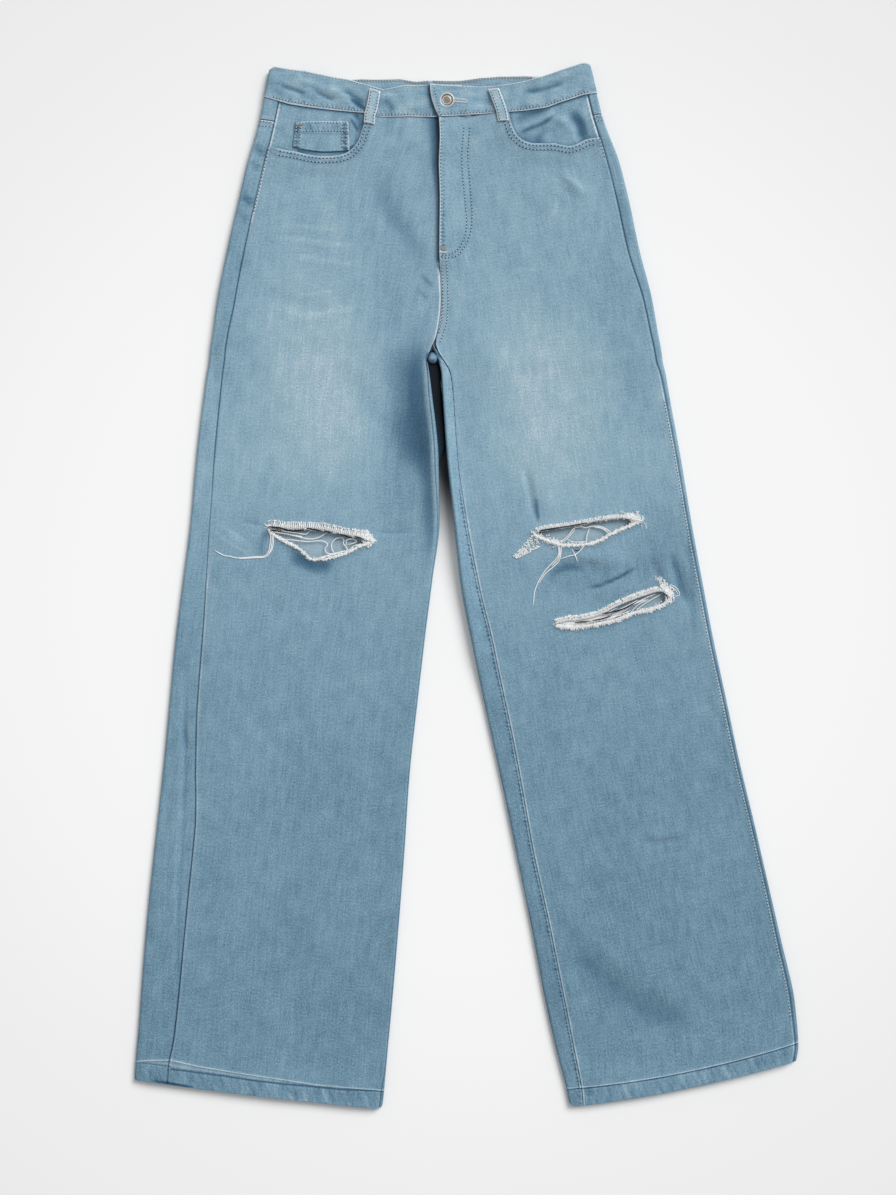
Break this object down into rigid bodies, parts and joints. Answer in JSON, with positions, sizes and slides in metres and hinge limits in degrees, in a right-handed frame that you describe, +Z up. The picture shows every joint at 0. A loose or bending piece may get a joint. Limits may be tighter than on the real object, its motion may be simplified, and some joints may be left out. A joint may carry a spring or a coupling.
{
  "type": "ripped jeans",
  "caption": "High-rise jeans with wide straight legs and torn knees, buttoned and laid flat on their back with the legs apart.",
  "frame": {"origin": "centre of the garment's outline, on the surface it lies on", "axes": "+Z up off the surface, out of the fronts; +Y towards the waist; +X towards the wearer's left leg"},
  "size_m": [0.696, 1.0962, 0.0124],
  "materials": {
    "faded_denim": "washed twill, faded pale over the thighs",
    "denim": "washed blue twill",
    "band_denim": "washed twill, two layers, topstitched",
    "button_metal": "worn nickel plate"
  },
  "bodies": {
    "root": {"front_right": "faded_denim", "front_left": "faded_denim", "back_right": "denim", "back_left": "denim", "yoke_right": "denim", "yoke_left": "denim", "waistband": "band_denim", "pocket_facing_right": "denim", "pocket_facing_left": "denim", "coin_pocket": "denim", "back_pocket_right": "denim", "back_pocket_left": "denim", "belt_loop_front_right": "band_denim", "belt_loop_front_left": "band_denim", "belt_loop_back_right": "band_denim", "belt_loop_back_left": "band_denim", "belt_loop_back_centre": "band_denim", "button": "button_metal"}
  },
  "joints": []
}
